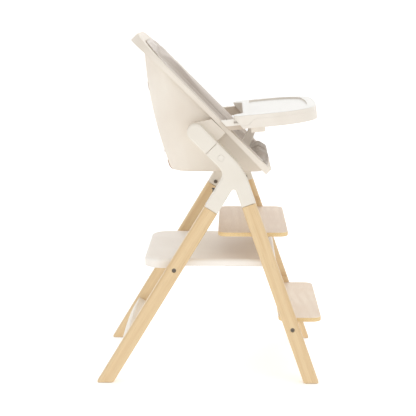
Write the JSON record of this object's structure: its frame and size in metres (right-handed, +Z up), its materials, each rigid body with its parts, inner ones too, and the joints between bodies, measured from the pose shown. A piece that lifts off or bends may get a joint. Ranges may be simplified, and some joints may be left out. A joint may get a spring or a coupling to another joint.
{
  "type": "baby high chair",
  "caption": "Baby high chair: wooden A-frame legs, moulded bucket seat with pad and harness, sliding tray with lift-off cover, step boards and a shelf.",
  "frame": {"origin": "on the floor, at the centre of the chair's footprint box", "axes": "+Z up, the child faces -Y, +X is the child's left side"},
  "size_m": [0.5212, 0.6228, 0.9585],
  "materials": {
    "beech": "clear lacquered beech",
    "painted_wood": "cream painted wood",
    "plywood": "lacquered plywood",
    "dowel_wood": "plain",
    "glide_felt": "felt",
    "shell_plastic": "fine moulded texture",
    "cover_plastic": "fine moulded texture",
    "dark_plastic": "moulded",
    "trim_plastic": "moulded",
    "armrest_plastic": "moulded",
    "tray_plastic": "fine moulded texture",
    "tray_top_plastic": "satin",
    "lever_plastic": "moulded",
    "button_plastic": "moulded",
    "buckle_plastic": "moulded",
    "buckle_button_plastic": "moulded",
    "retainer_plastic": "moulded",
    "bumper_rubber": "soft",
    "bolt_steel": "dark zinc",
    "screw_steel": "zinc",
    "spring_steel": "spring steel",
    "pad_fabric": "fine mesh weave",
    "webbing": "woven webbing"
  },
  "bodies": {
    "chair": {"rear_leg_left": "beech", "rear_leg_right": "beech", "front_leg_left": "beech", "front_leg_right": "beech", "foot_glides": "glide_felt", "hub_left": "shell_plastic", "hub_right": "shell_plastic", "hub_inner_cover_left": "shell_plastic", "hub_inner_cover_right": "shell_plastic", "rear_leg_socket_left": "shell_plastic", "rear_leg_socket_right": "shell_plastic", "leg_bolts": "bolt_steel", "socket_bolts": "bolt_steel", "bolt_nuts": "bolt_steel", "seat_catches": "dark_plastic", "platform": "shell_plastic", "platform_cover": "cover_plastic", "cover_screws": "screw_steel", "platform_dowels": "dowel_wood", "rear_stretcher": "painted_wood", "front_stretcher": "beech", "seat_shell": "shell_plastic", "rear_edge_strip": "trim_plastic", "seat_mount_left": "shell_plastic", "seat_mount_right": "shell_plastic", "seat_mount_screws": "screw_steel", "armrest_left": "armrest_plastic", "armrest_right": "armrest_plastic", "armrest_screws": "screw_steel", "pad_back": "pad_fabric", "pad_base": "pad_fabric", "pad_wing_left": "pad_fabric", "pad_wing_right": "pad_fabric", "shoulder_strap_left": "webbing", "shoulder_strap_right": "webbing", "waist_strap_left": "webbing", "waist_strap_right": "webbing", "crotch_strap": "webbing", "buckle": "buckle_plastic", "strap_adjusters": "buckle_plastic", "strap_retainers": "retainer_plastic", "button_spring_left": "spring_steel", "button_spring_right": "spring_steel", "buckle_spring": "spring_steel"},
    "upper_step_board": {"upper_step": "plywood", "step_bumpers": "bumper_rubber", "step_stop_pins": "screw_steel"},
    "lower_step_board": {"lower_step": "plywood"},
    "tray": {"tray_base": "tray_plastic", "crotch_post": "tray_plastic", "lever_spring_left": "spring_steel", "lever_spring_right": "spring_steel"},
    "tray_top": {"tray_cover": "tray_top_plastic"},
    "lever_left": {"tray_lever_left": "lever_plastic"},
    "lever_right": {"tray_lever_right": "lever_plastic"},
    "button_left": {"release_button_left": "button_plastic"},
    "button_right": {"release_button_right": "button_plastic"},
    "harness_button": {"buckle_button": "buckle_button_plastic"}
  },
  "joints": [
    {"name": "tray_slide", "type": "slide", "parent": "chair", "child": "tray", "axis": [0, -0.9954, 0.0958], "range_m": [-0.02, 0.05]},
    {"name": "tray_cover_lift", "type": "slide", "parent": "tray", "child": "tray_top", "axis": [0, 0.0958, 0.9954], "range_m": [0, 0.04]},
    {"name": "tray_lever_left_press", "type": "slide", "parent": "tray", "child": "lever_left", "axis": [0, 0.0958, 0.9954], "range_m": [0, 0.004], "stiffness_N_per_m": 300, "springref_m": -0.003, "deforming": ["lever_spring_left"]},
    {"name": "tray_lever_right_press", "type": "slide", "parent": "tray", "child": "lever_right", "axis": [0, 0.0958, 0.9954], "range_m": [0, 0.004], "stiffness_N_per_m": 300, "springref_m": -0.003, "deforming": ["lever_spring_right"]},
    {"name": "release_button_left_press", "type": "slide", "parent": "chair", "child": "button_left", "axis": [-1, 0, 0], "range_m": [0, 0.006], "stiffness_N_per_m": 400, "springref_m": -0.003, "deforming": ["button_spring_left"]},
    {"name": "release_button_right_press", "type": "slide", "parent": "chair", "child": "button_right", "axis": [1, 0, 0], "range_m": [0, 0.006], "stiffness_N_per_m": 400, "springref_m": -0.003, "deforming": ["button_spring_right"]},
    {"name": "buckle_button_press", "type": "slide", "parent": "chair", "child": "harness_button", "axis": [0, 0.7071, -0.7071], "range_m": [0, 0.003], "stiffness_N_per_m": 500, "springref_m": -0.002, "deforming": ["buckle_spring"]},
    {"name": "upper_step_slide", "type": "slide", "parent": "chair", "child": "upper_step_board", "axis": [0, -1, 0], "range_m": [0, 0.06]},
    {"name": "lower_step_slide", "type": "slide", "parent": "chair", "child": "lower_step_board", "axis": [0, -1, 0], "range_m": [0, 0.06]}
  ]
}
